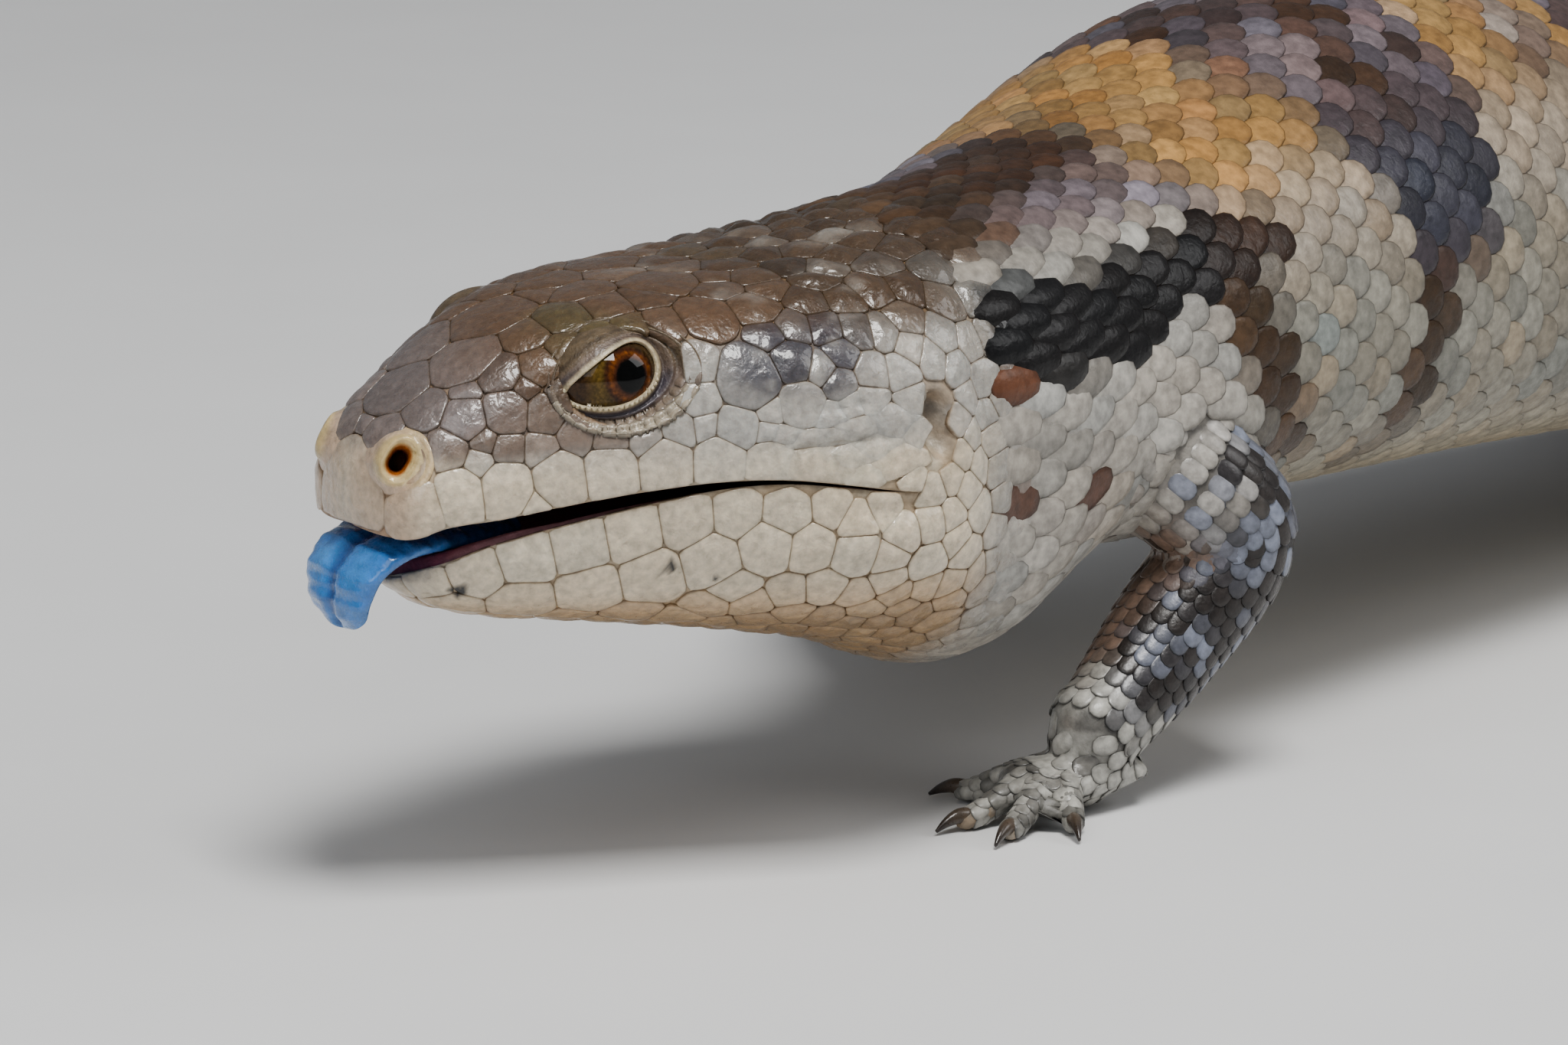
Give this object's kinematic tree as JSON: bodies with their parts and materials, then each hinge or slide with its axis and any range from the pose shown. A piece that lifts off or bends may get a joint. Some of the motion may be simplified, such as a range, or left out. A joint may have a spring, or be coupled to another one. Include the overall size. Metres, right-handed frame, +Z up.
{
  "type": "blue tongued skink",
  "caption": "Life-size blue tongued skink, a stout banded lizard with short legs and a plump tail, standing in mid stride with its blue tongue out",
  "frame": {"origin": "on the floor, under the middle of the model's bounding box", "axes": "+X is the way the animal walks, +Y its left side, +Z up"},
  "size_m": [0.4694, 0.1314, 0.073],
  "materials": {
    "back_skin": "overlapping glossy scales, dark brown and ochre bands on grey cream",
    "head_skin": "large smooth wet shields, olive brown above and cream on the lips",
    "jaw_skin": "smooth cream scales with ochre seams",
    "limb_skin": "small glossy scales, dark with pale flecks",
    "tongue": "wet cobalt blue flesh",
    "eye": "wet, copper iris round a black pupil"
  },
  "bodies": {
    "root": {"head": "head_skin", "lower_jaw": "jaw_skin", "tongue": "tongue", "eye_left": "eye", "eye_right": "eye", "neck": "back_skin", "chest": "back_skin", "belly": "back_skin", "hips": "back_skin", "tail_base": "back_skin", "tail_middle": "back_skin", "tail_tip": "back_skin", "left_upper_arm": "limb_skin", "left_forearm": "limb_skin", "left_hand": "limb_skin", "right_upper_arm": "limb_skin", "right_forearm": "limb_skin", "right_hand": "limb_skin", "left_thigh": "limb_skin", "left_shin": "limb_skin", "left_foot": "limb_skin", "right_thigh": "limb_skin", "right_shin": "limb_skin", "right_foot": "limb_skin"}
  },
  "joints": []
}
